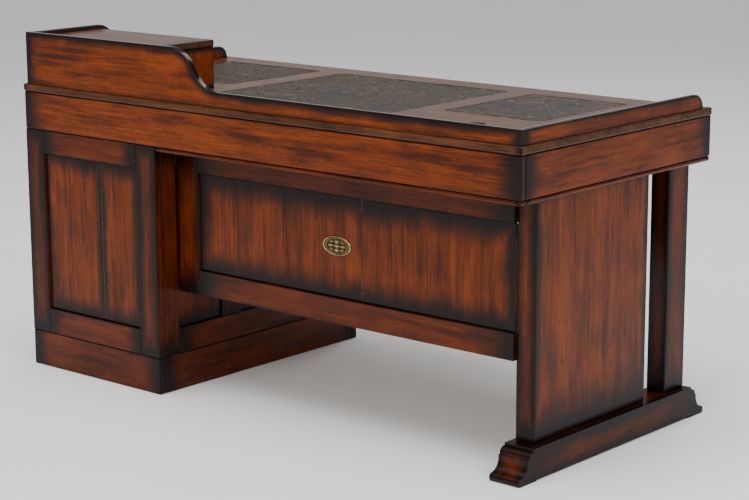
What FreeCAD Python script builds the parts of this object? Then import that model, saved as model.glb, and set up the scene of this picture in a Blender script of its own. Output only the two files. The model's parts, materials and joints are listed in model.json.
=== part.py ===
import FreeCAD, Part
import math
import os
import re

import Sketcher

# Single-pedestal writing desk with a raised organizer, a trestle leg and a modesty panel.
# Frame: +Z up, floor at Z = 0, +X towards the pedestal, the user sits on the -Y side.
# Expressions below use desk coordinates, where Y = 0 is the middle of the top. The drawer
# pulls stand out at the front only, so half of their reach moves the desk to +Y and keeps
# the origin at the middle of the whole object's footprint.

CELLS = {
    "top_length": (1600, "length of the top"),
    "top_depth": (750, "depth of the top"),
    "top_height": (746, "writing height"),
    "top_thick": (19, "thickness of the top"),
    "top_round": (5, "rounding of the top's edges"),
    "reveal": (2, "set-back of the frieze from the edge of the top"),
    "board": (18, "carcass board thickness"),
    "front_thick": (20, "drawer front and rail thickness"),
    "edge_round": (2.5, "rounding of visible board edges"),
    "frieze_low": (630, "underside of the frieze"),
    "bead_low": (618, "underside of the bead moulding"),
    "bead_deep": (19, "width of the bead moulding"),
    "bead_round": (4, "rounding of the bead moulding"),
    "rail_high": (15, "height of the front rails"),
    "gallery_lip": (4, "upright part of a gallery board's front end below its round"),
    "gallery_inset": (8.5, "set-back of the gallery boards"),
    "gallery_thick": (17, "thickness of the gallery boards"),
    "gallery_low": (780, "top of the low gallery"),
    "gallery_high": (878, "top of the high gallery"),
    "gallery_stop": (30, "distance from the gallery's front end to the top's front edge"),
    "ogee_start": (265, "X where the back gallery begins to drop"),
    "ogee_run": (160, "length of the back gallery's drop"),
    "end_ogee_run": (104, "length of the end gallery's drop"),
    "organizer_x": (346, "inner end of the organizer"),
    "organizer_y": (130, "front of the organizer"),
    "organizer_top": (869, "top of the organizer"),
    "organizer_floor": (6, "thickness of the organizer's floor"),
    "divider": (12, "thickness of the organizer's dividers"),
    "cubby_wide": (120, "clear width of the letter cubby"),
    "leather_thick": (1.8, "thickness of the leather"),
    "leather_groove": (2.2, "depth of the leather recess"),
    "pedestal_pad_left": (363, "low X of the leather by the pedestal"),
    "pedestal_pad_right": (705, "high X of the leather by the pedestal"),
    "pedestal_pad_front": (-295, "low Y of the leather by the pedestal"),
    "pedestal_pad_back": (60, "high Y of the leather by the pedestal"),
    "center_pad_left": (-270, "low X of the middle leather"),
    "center_pad_right": (290, "high X of the middle leather"),
    "center_pad_front": (-290, "low Y of the middle leather"),
    "center_pad_back": (190, "high Y of the middle leather"),
    "leg_pad_left": (-622, "low X of the leather by the leg"),
    "leg_pad_right": (-338, "high X of the leather by the leg"),
    "leg_pad_front": (-290, "low Y of the leather by the leg"),
    "leg_pad_back": (66, "high Y of the leather by the leg"),
    "overcut": (1, "how far a cutter reaches past a face"),
    "leather_corner": (16, "corner radius of the leather"),
    "leather_gap": (0.6, "gap around each leather panel"),
    "cable_x": (-528, "centre of the cable hole"),
    "cable_y": (185, "centre of the cable hole"),
    "cable_radius": (25, "radius of the cable hole"),
    "pedestal_x": (317, "inner face of the pedestal"),
    "plinth_high": (94, "height of the plinth"),
    "stile": (67, "width of the pedestal's stiles"),
    "corner_stile": (51, "width of the side frames' back stiles"),
    "rail_top": (570, "underside of the pedestal's top rails"),
    "rail_bottom": (160, "upper edge of the pedestal's bottom rails"),
    "panel_thick": (8, "thickness of the frame panels"),
    "panel_sunk": (7, "set-back of the frame panels"),
    "seam_x": (522, "joint between the pedestal's two back boards"),
    "muntin_y": (81, "front edge of the side frames' middle stile"),
    "modesty_y": (300, "outer face of the modesty panel"),
    "modesty_thick": (20, "thickness of the modesty frame"),
    "modesty_low": (256, "underside of the modesty panel"),
    "modesty_rail": (63, "height of the modesty panel's bottom rail"),
    "modesty_upper": (563, "underside of the modesty panel's top rail"),
    "modesty_stile": (243, "edge of the modesty panel's stile"),
    "modesty_seam": (-286, "joint between the two modesty boards"),
    "badge_x": (-209, "centre of the oval plate"),
    "badge_z": (442, "centre of the oval plate"),
    "badge_long": (46, "half of the oval plate's width"),
    "badge_short": (24, "half of the oval plate's height"),
    "badge_thick": (3, "thickness of the oval plate"),
    "foot_wide": (80, "width of the sled foot"),
    "foot_high": (75, "height of the sled foot"),
    "foot_short": (5, "set-back of the sled foot's ends from the edge of the top"),
    "moulding_run": (53, "length of the moulded end of the sled foot"),
    "moulding_step": (3, "small steps of the sled foot's moulding"),
    "bead_run": (18, "length of the upper bead of the sled foot"),
    "bead_drop": (22, "depth of the upper bead's foot below the top of the sled foot"),
    "bead_bulge": (4.5, "roundness of the upper bead"),
    "cove_stop": (8, "set-back of the cove's foot from the end of the sled foot"),
    "cove_bulge": (7, "hollowness of the cove"),
    "foot_pad": (18, "height of the pad under the cove"),
    "pad_bulge": (6, "roundness of the pad"),
    "pad_long": (62, "length of the pad on the floor"),
    "foot_relief": (5, "hollow under the middle of the sled foot"),
    "leg_out": (21, "set-back of the leg boards from the top's end"),
    "leg_thick": (51, "thickness of the leg boards"),
    "plank_back": (290, "back edge of the wide leg board"),
    "plank_wide": (435, "width of the wide leg board"),
    "post_back": (-230, "back edge of the narrow leg board"),
    "post_wide": (84, "width of the narrow leg board"),
    "bay_edge": (10, "thickness of the drawer guide beside the leg"),
    "shelf_thick": (6, "thickness of the dust panel"),
    "rail_mid": (409, "underside of the rail between the pedestal's drawers"),
    "front_gap": (1.5, "gap around a drawer front"),
    "side_gap": (4, "gap beside a drawer box"),
    "slide_gap": (0.5, "gap under a drawer box"),
    "box_thick": (12, "thickness of a drawer's sides"),
    "box_floor": (6, "thickness of a drawer's bottom"),
    "box_head": (12, "gap above a drawer box"),
    "box_deep": (560, "length of a large drawer box"),
    "small_deep": (190, "length of an organizer drawer box"),
    "front_reach": (18, "how far the pulls stand out beyond the front edge of the top"),
    "pull_half": (34, "half of the distance between a pull's posts"),
    "plate_long": (100, "length of a pull's back plate"),
    "plate_high": (24, "height of a pull's back plate"),
    "plate_thick": (2, "thickness of a pull's back plate"),
    "post_radius": (5, "radius of a pull's posts"),
    "pivot_out": (15, "distance from drawer front to the bail's pivot"),
    "pin_hole": (2.4, "radius of the hole in a pull's posts"),
    "pin_radius": (2, "radius of the bail's pins"),
    "bail_radius": (2.6, "radius of the bail's rod"),
    "bail_drop": (30, "drop of the bail below its pivot"),
    "bail_gap": (0.6, "gap between a post and the bail's arm"),
    "bail_bend": (12, "radius of the bail's corners"),
    "pin_past": (4, "length of the bail's pin past the middle of its post"),
    "knob_long": (18, "how far an organizer knob stands out"),
    "knob_wide": (16, "diameter of an organizer knob"),
    "bail_lift": (4, "height of the pivot above the drawer front's middle"),
}

doc = FreeCAD.newDocument("desk")
sheet = doc.addObject("Spreadsheet::Sheet", "Dims")
for row, (alias, (value, note)) in enumerate(CELLS.items(), 1):
    sheet.set(f"A{row}", note)
    sheet.set(f"B{row}", str(value))
    sheet.setAlias(f"B{row}", alias)
doc.recompute()

nodes = []
probe = doc.addObject("App::FeaturePython", "Probe")
probe.addProperty("App::PropertyFloat", "value")


def size(text):
    """The value in mm of a formula written with the sheet's aliases."""
    probe.setExpression("value", cells(text))
    doc.recompute([probe])
    return float(probe.value)


def cells(text):
    """Prefixes each alias in a formula with the sheet's name."""
    return re.sub(r"[a-z][a-z_]+", lambda word: "Dims." + word.group(0), str(text))


def place(thing, corner):
    """Binds a position, given in desk coordinates, to the sheet."""
    for axis, formula in zip("xyz", corner):
        shift = " + front_reach / 2" if axis == "y" else ""
        thing.setExpression(f"Placement.Base.{axis}", cells(f"{formula}{shift}"))


def keep(label, thing):
    """Marks an object as a finished piece and gives it the piece's name."""
    thing.Label = label
    nodes.append(thing)
    return thing


def block(name, low, high):
    """A box between two corners written as formulas."""
    box = doc.addObject("Part::Box", name)
    for side, start, end in zip(("Length", "Width", "Height"), low, high):
        box.setExpression(side, cells(f"({end}) - ({start})"))
    place(box, low)
    return box


def eased(name, base, radius, choose=None):
    """Rounds the edges of a piece that `choose` picks, or all of them."""
    doc.recompute()
    fillet = doc.addObject("Part::Fillet", name)
    fillet.Base = base
    picked = [n for n, edge in enumerate(base.Shape.Edges, 1) if choose is None or choose(edge)]
    fillet.Edges = [(n, size(radius), size(radius)) for n in picked]
    return fillet


def plank(name, low, high, radius="edge_round"):
    """A board with all its edges rounded."""
    return eased(name, block(name + "_blank", low, high), radius)


def board(label, low, high, radius="edge_round"):
    """A rounded board that is a node of its own."""
    return keep(label, plank(label, low, high, radius))


def group(label, pieces):
    """Several separate solids that are fixed together and share one node."""
    compound = doc.addObject("Part::Compound", label)
    compound.Links = pieces
    return keep(label, compound)


def upright(edge):
    """True for an edge along Z."""
    box = edge.BoundBox
    return box.ZLength > max(box.XLength, box.YLength)


def body_with_outline(name, role, edges):
    """A body whose first sketch holds the closed outline `edges` on an origin plane."""
    body = doc.addObject("PartDesign::Body", name)
    sketch = body.newObject("Sketcher::SketchObject", name + "_outline")
    plane = next(f for f in body.Origin.OriginFeatures if f.Role == role)
    sketch.AttachmentSupport = [(plane, "")]
    sketch.MapMode = "FlatFace"
    sketch.addGeometry(edges)
    doc.recompute()
    return body, sketch


def lines(points):
    """Straight edges through points of a sketch, not closed."""
    vectors = [FreeCAD.Vector(a, b, 0) for a, b in points]
    return [Part.LineSegment(a, b) for a, b in zip(vectors, vectors[1:])]


def arc(start, middle, end):
    """A circular edge of a sketch through three points."""
    return Part.Arc(*(FreeCAD.Vector(a, b, 0) for a, b in (start, middle, end)))


def bulge(start, end, depth):
    """A circular edge whose middle stands `depth` to the left of the chord."""
    run, rise = end[0] - start[0], end[1] - start[1]
    chord = math.hypot(run, rise)
    middle_a = (start[0] + end[0]) / 2 - rise / chord * depth
    middle_b = (start[1] + end[1]) / 2 + run / chord * depth
    return arc(start, (middle_a, middle_b), end)


def extrude(body, sketch, length):
    """Pads the outline by a length bound to the sheet, on both sides of its plane."""
    pad = body.newObject("PartDesign::Pad", body.Name + "_pad")
    pad.Profile = sketch
    pad.Midplane = True
    pad.setExpression("Length", cells(length))
    doc.recompute()
    return pad


# ---------------------------------------------------------------- top and gallery
HALF_X = "top_length / 2"
HALF_Y = "top_depth / 2"
LEATHERS = ("pedestal", "center", "leg")


def leather_block(name, spot, gap, low, high):
    """A flat block with round corners, smaller all round by `gap`."""
    x_low, x_high, y_low, y_high = (f"{spot}_pad_{side}" for side in ("left", "right", "front", "back"))
    base = block(name + "_blank", (f"{x_low} + {gap}", f"{y_low} + {gap}", low),
                 (f"{x_high} - {gap}", f"{y_high} - {gap}", high))
    return eased(name, base, "leather_corner", upright)


def make_top():
    """The top with its leather recesses and the cable hole, and the leather panels."""
    blank = block("top_blank", (f"-{HALF_X}", f"-{HALF_Y}", "top_height - top_thick"),
                  (HALF_X, HALF_Y, "top_height"))
    rounded = eased("top_rounded", blank, "top_round")
    cutters = []
    floor = "top_height - leather_groove"
    for spot in LEATHERS:
        name = f"leather_{spot}"
        cutters.append(leather_block(name + "_recess", spot, "0", floor, "top_height + overcut"))
        keep(name, leather_block(name, spot, "leather_gap", floor, f"{floor} + leather_thick"))
    hole = doc.addObject("Part::Cylinder", "cable_hole")
    hole.setExpression("Radius", cells("cable_radius"))
    hole.setExpression("Height", cells("top_thick + 2 * overcut"))
    place(hole, ("cable_x", "cable_y", "top_height - top_thick - overcut"))
    cutters.append(hole)
    tools = doc.addObject("Part::MultiFuse", "top_tools")
    tools.Shapes = cutters
    top = doc.addObject("Part::Cut", "top_slab")
    top.Base = rounded
    top.Tool = tools
    keep("top_slab", top)


def ogee(high, low):
    """Two equal arcs from a high point down to a low one, level at both ends."""
    middle = ((high[0] + low[0]) / 2, (high[1] + low[1]) / 2)
    half_run = abs(high[0] - low[0]) / 2
    half_drop = (high[1] - low[1]) / 2
    radius = (half_run ** 2 + half_drop ** 2) / (2 * half_drop)
    depth = radius - math.sqrt(radius ** 2 - (half_run ** 2 + half_drop ** 2) / 4)
    side = 1 if high[0] < low[0] else -1
    return [bulge(high, middle, side * depth), bulge(middle, low, -side * depth)]


def make_gallery():
    """The raised boards along the back and both ends of the top."""
    base = size("top_height")
    low, high = size("gallery_low"), size("gallery_high")
    end = size("top_length / 2 - gallery_inset")
    start = size("ogee_start")
    stop = start - size("ogee_run")
    outline = lines([(stop, low), (-end, low), (-end, base), (end, base), (end, high), (start, high)])
    outline += ogee((start, high), (stop, low))
    body, sketch = body_with_outline("gallery_back", "XZ_Plane", outline)
    extrude(body, sketch, "gallery_thick")
    place(body, ("0", "top_depth / 2 - gallery_inset - gallery_thick / 2", "0"))
    keep("gallery_back", body)

    back = size("top_depth / 2 - gallery_inset - gallery_thick")
    front = size("gallery_stop - top_depth / 2")
    corner = low - base - size("gallery_lip")
    cut = corner * (1 - math.sqrt(0.5))
    nose = arc((front + corner, low), (front + cut, low - cut), (front, low - corner))
    shoulder = size("organizer_y")
    foot_of_drop = shoulder - size("end_ogee_run")
    plain = lines([(front, low - corner), (front, base), (back, base), (back, low), (front + corner, low)])
    raised = lines([(front, low - corner), (front, base), (back, base), (back, high), (shoulder, high)])
    raised += ogee((shoulder, high), (foot_of_drop, low))
    raised += lines([(foot_of_drop, low), (front + corner, low)])
    for label, sign, outline in (("gallery_leg_end", "-", plain), ("gallery_pedestal_end", "", raised)):
        body, sketch = body_with_outline(label, "YZ_Plane", outline + [nose])
        extrude(body, sketch, "gallery_thick")
        place(body, (f"{sign}(top_length / 2 - gallery_inset - gallery_thick / 2)", "0", "0"))
        keep(label, body)


# ---------------------------------------------------------------- organizer
GALLERY_IN_X = "top_length / 2 - gallery_inset - gallery_thick"
GALLERY_IN_Y = "top_depth / 2 - gallery_inset - gallery_thick"
DRAWER_BAY = f"({GALLERY_IN_X} - organizer_x - board - cubby_wide - 2 * divider) / 2"


def make_organizer():
    """The box on the top: lid, inner end, floor and two dividers."""
    roof = "organizer_top - board"
    board("organizer_top", ("organizer_x", "organizer_y", roof),
          (GALLERY_IN_X, GALLERY_IN_Y, "organizer_top"))
    board("organizer_side", ("organizer_x + reveal / 2", "organizer_y + reveal", "top_height"),
          ("organizer_x + board", GALLERY_IN_Y, roof), "edge_round / 2")
    floor = block("organizer_floor", ("organizer_x + board", "organizer_y + reveal", "top_height"),
                  (GALLERY_IN_X, GALLERY_IN_Y, "top_height + organizer_floor"))
    keep("organizer_floor", floor)
    first = "organizer_x + board + cubby_wide"
    dividers = []
    for name, start in (("a", first), ("b", f"{first} + divider + {DRAWER_BAY}")):
        low = (start, "organizer_y + reveal", "top_height + organizer_floor")
        high = (f"{start} + divider", GALLERY_IN_Y, roof)
        dividers.append(block(f"organizer_divider_{name}", low, high))
    group("organizer_dividers", dividers)


# ---------------------------------------------------------------- frieze under the top
FACE_X = "(top_length / 2 - reveal)"
FACE_Y = "(top_depth / 2 - reveal)"
SLAB_LOW = "top_height - top_thick"
LEG_IN = "(-top_length / 2 + leg_out + leg_thick)"
BAY_START = "(-top_length / 2 + leg_out + leg_thick + bay_edge)"
BAY_WIDE = "((pedestal_x - (-top_length / 2 + leg_out + leg_thick + bay_edge) - board) / 2)"


def make_frieze():
    """The band under the top, with its front rails, drawer guides and bead moulding."""
    board("frieze_back", (f"-{FACE_X}", f"{FACE_Y} - board", "frieze_low"), (FACE_X, FACE_Y, SLAB_LOW))
    board("frieze_pedestal_end", (f"{FACE_X} - board", f"-{FACE_Y}", "frieze_low"),
          (FACE_X, f"{FACE_Y} - board", SLAB_LOW))
    board("frieze_leg_end", (f"-{FACE_X}", f"-{FACE_Y}", "frieze_low"),
          (f"-{FACE_X} + board", f"{FACE_Y} - board", SLAB_LOW))
    fascia = [
        plank("front_rail_upper", (f"-{FACE_X} + board", f"-{FACE_Y}", f"{SLAB_LOW} - rail_high"),
              (f"{FACE_X} - board", f"-{FACE_Y} + front_thick", SLAB_LOW), "edge_round / 2"),
        plank("front_rail_lower", (f"-{FACE_X} + board", f"-{FACE_Y}", "frieze_low"),
              (f"{FACE_X} - board", f"-{FACE_Y} + front_thick", "frieze_low + rail_high"),
              "edge_round / 2"),
    ]
    inner_y = f"-{FACE_Y} + front_thick"
    outer_y = f"{FACE_Y} - board"
    guides = [
        block("guide_leg", (LEG_IN, inner_y, "frieze_low"), (BAY_START, outer_y, SLAB_LOW)),
        block("guide_middle", (f"{BAY_START} + {BAY_WIDE}", inner_y, "frieze_low"),
              (f"{BAY_START} + {BAY_WIDE} + board", outer_y, SLAB_LOW)),
        block("guide_pedestal", ("pedestal_x", inner_y, "frieze_low"),
              ("pedestal_x + board", outer_y, SLAB_LOW)),
    ]
    for name, start in (("a", f"{BAY_START} + {BAY_WIDE}"), ("b", "pedestal_x")):
        fascia.append(block(f"front_post_{name}", (start, f"-{FACE_Y}", "frieze_low + rail_high"),
                            (f"{start} + board", inner_y, f"{SLAB_LOW} - rail_high")))
    fascia.append(block("front_post_c", (f"-{FACE_X} + board", f"-{FACE_Y}", "frieze_low + rail_high"),
                        (BAY_START, inner_y, f"{SLAB_LOW} - rail_high")))
    group("front_frame", fascia)
    bays = {
        "a": (BAY_START, f"{BAY_START} + {BAY_WIDE}"),
        "b": (f"{BAY_START} + {BAY_WIDE} + board", "pedestal_x"),
        "c": ("pedestal_x + board", f"{FACE_X} - board"),
    }
    for name, (start, end) in bays.items():
        guides.append(block(f"dust_{name}", (start, inner_y, "frieze_low + rail_high - shelf_thick"),
                            (end, outer_y, "frieze_low + rail_high")))
    group("drawer_guides", guides)
    bead = [
        plank("bead_back", (f"-{FACE_X}", f"{FACE_Y} - bead_deep", "bead_low"),
              ("pedestal_x", FACE_Y, "frieze_low"), "bead_round"),
        plank("bead_leg_end", (f"-{FACE_X}", f"-{FACE_Y}", "bead_low"),
              (f"-{FACE_X} + bead_deep", f"{FACE_Y} - bead_deep", "frieze_low"), "bead_round"),
        plank("bead_front", (f"-{FACE_X} + bead_deep", f"-{FACE_Y}", "bead_low"),
              ("pedestal_x", f"-{FACE_Y} + bead_deep", "frieze_low"), "bead_round"),
    ]
    group("bead_moulding", bead)


# ---------------------------------------------------------------- pedestal
def side_frame(side, low_x, high_x, panel_x):
    """A side of the pedestal: two outer stiles, a middle one, two rails and two panels."""
    front, back = f"-{FACE_Y}", f"{FACE_Y} - front_thick"
    uprights = {
        "front": (front, f"{front} + stile"),
        "middle": ("muntin_y", "muntin_y + stile"),
        "back": (f"{back} - corner_stile", back),
    }
    pieces = []
    for name, (start, end) in uprights.items():
        low, high = (low_x, start, "plinth_high"), (high_x, end, "frieze_low")
        if name == "middle":
            low, high = (low_x, start, "rail_bottom"), (high_x, end, "rail_top")
        pieces.append(block(f"{side}_stile_{name}", low, high))
    rails = (("lower", "plinth_high", "rail_bottom"), ("upper", "rail_top", "frieze_low"))
    for name, start, end in rails:
        pieces.append(block(f"{side}_rail_{name}", (low_x, f"{front} + stile", start),
                            (high_x, f"{back} - corner_stile", end)))
    group(f"pedestal_{side}_frame", pieces)
    panels = [
        block(f"{side}_panel_a", (panel_x, f"{front} + stile", "rail_bottom"),
              (f"{panel_x} + panel_thick", "muntin_y", "rail_top")),
        block(f"{side}_panel_b", (panel_x, "muntin_y + stile", "rail_bottom"),
              (f"{panel_x} + panel_thick", f"{back} - corner_stile", "rail_top")),
    ]
    group(f"pedestal_{side}_panels", panels)


def make_pedestal():
    """The drawer cabinet: back frame, two side frames, decks, runners and plinth."""
    inner_y = f"{FACE_Y} - front_thick"
    left, right = "pedestal_x", FACE_X
    pieces = [
        block("back_stile_a", (left, inner_y, "plinth_high"),
              (f"{left} + stile", FACE_Y, "frieze_low")),
        block("back_stile_b", (f"{right} - stile", inner_y, "plinth_high"),
              (right, FACE_Y, "frieze_low")),
        block("back_rail_a", (f"{left} + stile", inner_y, "plinth_high"),
              (f"{right} - stile", FACE_Y, "rail_bottom")),
        block("back_rail_b", (f"{left} + stile", inner_y, "rail_top"),
              (f"{right} - stile", FACE_Y, "frieze_low")),
    ]
    group("pedestal_back_frame", pieces)
    sunk = f"{FACE_Y} - panel_sunk"
    panels = [
        block("back_panel_a", (f"{left} + stile", f"{sunk} - panel_thick", "rail_bottom"),
              ("seam_x", sunk, "rail_top")),
        block("back_panel_b", ("seam_x", f"{sunk} - panel_thick", "rail_bottom"),
              (f"{right} - stile", sunk, "rail_top")),
    ]
    group("pedestal_back_panels", panels)
    side_frame("inner", left, f"{left} + board", f"{left} + panel_sunk")
    side_frame("outer", f"{right} - board", right, f"{right} - panel_sunk - panel_thick")
    inside = (f"{left} + board", f"{right} - board")
    decks = [("pedestal_floor", "plinth_high"), ("pedestal_deck", "frieze_low - board")]
    for label, start in decks:
        board(label, (inside[0], f"-{FACE_Y}", start),
              (inside[1], inner_y, f"{start} + rail_high"), "edge_round / 2")
    middle = [
        block("middle_rail", (inside[0], f"-{FACE_Y}", "rail_mid"),
              (inside[1], f"-{FACE_Y} + front_thick", "rail_mid + rail_high")),
        block("runner_a", (inside[0], f"-{FACE_Y} + front_thick", "rail_mid"),
              (f"{inside[0]} + front_thick", inner_y, "rail_mid + rail_high")),
        block("runner_b", (f"{inside[1]} - front_thick", f"-{FACE_Y} + front_thick", "rail_mid"),
              (inside[1], inner_y, "rail_mid + rail_high")),
    ]
    group("pedestal_runners", middle)
    runs = {
        "back": ((left, inner_y), (right, FACE_Y)),
        "front": ((left, f"-{FACE_Y}"), (right, f"-{FACE_Y} + front_thick")),
        "inner": ((left, f"-{FACE_Y} + front_thick"), (f"{left} + front_thick", inner_y)),
        "outer": ((f"{right} - front_thick", f"-{FACE_Y} + front_thick"), (right, inner_y)),
    }
    group("plinth", [plank(f"plinth_{name}", (*low, "0"), (*high, "plinth_high"))
                     for name, (low, high) in runs.items()])


# ---------------------------------------------------------------- trestle leg
def foot_end(reach):
    """Half of the sled foot's outline beyond Y = 0, from its top to the floor."""
    tall = size("foot_high")
    top = reach - size("moulding_run")
    step = size("moulding_step")
    bead_y, bead_high = top + size("bead_run"), tall - size("bead_drop")
    neck_y = bead_y + step + 1
    cove_high = bead_high - step - 1
    cove_y, pad_high = reach - size("cove_stop"), size("foot_pad")
    pad_y = cove_y + step
    edges = lines([(0, tall), (top, tall), (top, tall - 2 * step), (top + step, tall - 2 * step)])
    edges.append(bulge((top + step, tall - 2 * step), (bead_y, bead_high), size("bead_bulge")))
    edges += lines([(bead_y, bead_high), (neck_y, bead_high), (neck_y, cove_high)])
    edges.append(bulge((neck_y, cove_high), (cove_y, pad_high), -size("cove_bulge")))
    edges += lines([(cove_y, pad_high), (pad_y, pad_high)])
    edges.append(bulge((pad_y, pad_high), (reach - step, 0), size("pad_bulge")))
    return edges


def mirrored(edge):
    """The edge on the other side of the sketch's vertical axis."""
    first, last = edge.FirstParameter, edge.LastParameter
    points = [edge.value(t) for t in (first, (first + last) / 2, last)]
    flipped = [(-p.x, p.y) for p in points]
    if isinstance(edge, Part.LineSegment):
        return lines([flipped[0], flipped[2]])[0]
    return arc(*flipped)


def make_trestle():
    """The sled foot and the two boards that stand on it."""
    reach = size("top_depth / 2 - foot_short")
    half = foot_end(reach)
    relief = size("foot_relief")
    pad = reach - size("pad_long")
    toe = reach - size("moulding_step")
    under = lines([(toe, 0), (pad, 0), (pad - relief, relief), (relief - pad, relief), (-pad, 0), (-toe, 0)])
    outline = half + [mirrored(e) for e in half] + under
    body, sketch = body_with_outline("sled_foot", "YZ_Plane", outline)
    extrude(body, sketch, "foot_wide")
    place(body, ("-top_length / 2 + foot_wide / 2", "0", "0"))
    keep("sled_foot", body)
    start, end = "-top_length / 2 + leg_out", LEG_IN
    board("leg_plank", (start, "plank_back - plank_wide", "foot_high"), (end, "plank_back", SLAB_LOW))
    board("leg_post", (start, "post_back - post_wide", "foot_high"), (end, "post_back", SLAB_LOW))


# ---------------------------------------------------------------- modesty panel
def make_modesty():
    """The panel between pedestal and leg, with its oval plate."""
    inner = "modesty_y - modesty_thick"
    frame = [
        block("modesty_stile_a", ("modesty_stile", inner, "modesty_low"),
              ("pedestal_x", "modesty_y", "frieze_low")),
        block("modesty_rail_a", (LEG_IN, inner, "modesty_low"),
              ("modesty_stile", "modesty_y", "modesty_low + modesty_rail")),
        block("modesty_rail_b", (LEG_IN, inner, "modesty_upper"),
              ("modesty_stile", "modesty_y", "frieze_low")),
    ]
    group("modesty_frame", frame)
    face = "modesty_y - panel_sunk"
    low_z, high_z = "modesty_low + modesty_rail", "modesty_upper"
    panels = [
        block("modesty_board_a", (LEG_IN, f"{face} - panel_thick", low_z),
              ("modesty_seam", face, high_z)),
        block("modesty_board_b", ("modesty_seam", f"{face} - panel_thick", low_z),
              ("modesty_stile", face, high_z)),
    ]
    group("modesty_panels", panels)
    oval = doc.addObject("Part::Ellipse", "badge_outline")
    oval.setExpression("MajorRadius", cells("badge_long"))
    oval.setExpression("MinorRadius", cells("badge_short"))
    oval.Placement = FreeCAD.Placement(FreeCAD.Vector(), FreeCAD.Rotation(FreeCAD.Vector(1, 0, 0), 90))
    solid = doc.addObject("Part::Extrusion", "badge_plate")
    solid.Base = oval
    solid.DirMode = "Custom"
    solid.Dir = FreeCAD.Vector(0, 1, 0)
    solid.setExpression("LengthFwd", cells("badge_thick"))
    solid.Solid = True
    place(solid, ("badge_x", face, "badge_z"))
    outer = size("modesty_y")
    plate = eased("oval_plate", solid, "badge_thick / 3", lambda edge: edge.BoundBox.YMin > outer)
    keep("oval_plate", plate)


# ---------------------------------------------------------------- drawers and pulls
def make_drawer(label, low_x, high_x, low_z, high_z, front_y, depth):
    """A drawer front and its box of two sides, a back and a bottom, for one bay."""
    back_y = f"{front_y} + front_thick"
    board(f"{label}_front", (f"{low_x} + front_gap", front_y, f"{low_z} + front_gap"),
          (f"{high_x} - front_gap", back_y, f"{high_z} - front_gap"), "edge_round / 2")
    left, right = f"{low_x} + side_gap", f"{high_x} - side_gap"
    foot, head = f"{low_z} + slide_gap", f"{high_z} - box_head"
    end_y = f"{back_y} + {depth}"
    sill = f"{foot} + box_floor"
    sides = [
        block(f"{label}_side_a", (left, back_y, foot), (f"{left} + box_thick", end_y, head)),
        block(f"{label}_side_b", (f"{right} - box_thick", back_y, foot), (right, end_y, head)),
        block(f"{label}_back", (f"{left} + box_thick", f"{end_y} - box_thick", foot),
              (f"{right} - box_thick", end_y, head)),
        block(f"{label}_floor", (f"{left} + box_thick", back_y, foot),
              (f"{right} - box_thick", f"{end_y} - box_thick", sill)),
    ]
    group(f"{label}_box", sides)


def make_knob(label, center_x, center_z, front_y):
    """A small turned brass knob, revolved about the Y axis."""
    long, wide = size("knob_long"), size("knob_wide / 2")
    base, neck, crown = 0.6 * wide, 0.45 * wide, 0.25 * wide
    outline = lines([(0, 0), (base, 0), (base, -0.11 * long), (neck, -0.22 * long), (neck, -0.5 * long)])
    outline.append(bulge((neck, -0.5 * long), (wide, -0.72 * long), -0.15 * wide))
    outline.append(bulge((wide, -0.72 * long), (crown, -long), 0.17 * wide))
    outline += lines([(crown, -long), (0, -long), (0, 0)])
    body, sketch = body_with_outline(label, "XY_Plane", outline)
    turn = body.newObject("PartDesign::Revolution", label + "_turned")
    turn.Profile = sketch
    turn.ReferenceAxis = (sketch, ["V_Axis"])
    turn.Angle = 360
    doc.recompute()
    place(body, (center_x, front_y, center_z))
    keep(label, body)


def make_plate(label, center_x, center_z, front_y):
    """A pull's back plate with two posts, each drilled across for the bail."""
    plate = block(label + "_blank", (f"{center_x} - plate_long / 2", f"{front_y} - plate_thick",
                                     f"{center_z} - plate_high / 2"),
                  (f"{center_x} + plate_long / 2", front_y, f"{center_z} + plate_high / 2"))
    parts = [plate]
    pivot_z = f"{center_z} + bail_lift"
    for name, sign in (("a", "-"), ("b", "+")):
        post = doc.addObject("Part::Cylinder", f"{label}_post_{name}")
        post.setExpression("Radius", cells("post_radius"))
        post.setExpression("Height", cells("pivot_out + post_radius"))
        post.Placement.Rotation = FreeCAD.Rotation(FreeCAD.Vector(1, 0, 0), 90)
        place(post, (f"{center_x} {sign} pull_half", front_y, pivot_z))
        parts.append(post)
    whole = doc.addObject("Part::MultiFuse", label + "_whole")
    whole.Shapes = parts
    drill = doc.addObject("Part::Cylinder", label + "_drill")
    drill.setExpression("Radius", cells("pin_hole"))
    drill.setExpression("Height", cells("plate_long"))
    drill.Placement = FreeCAD.Placement(FreeCAD.Vector(), FreeCAD.Rotation(FreeCAD.Vector(0, 1, 0), 90))
    place(drill, (f"{center_x} - plate_long / 2", f"{front_y} - pivot_out", pivot_z))
    cut = doc.addObject("Part::Cut", label)
    cut.Base = whole
    cut.Tool = drill
    keep(label, cut)


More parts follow.
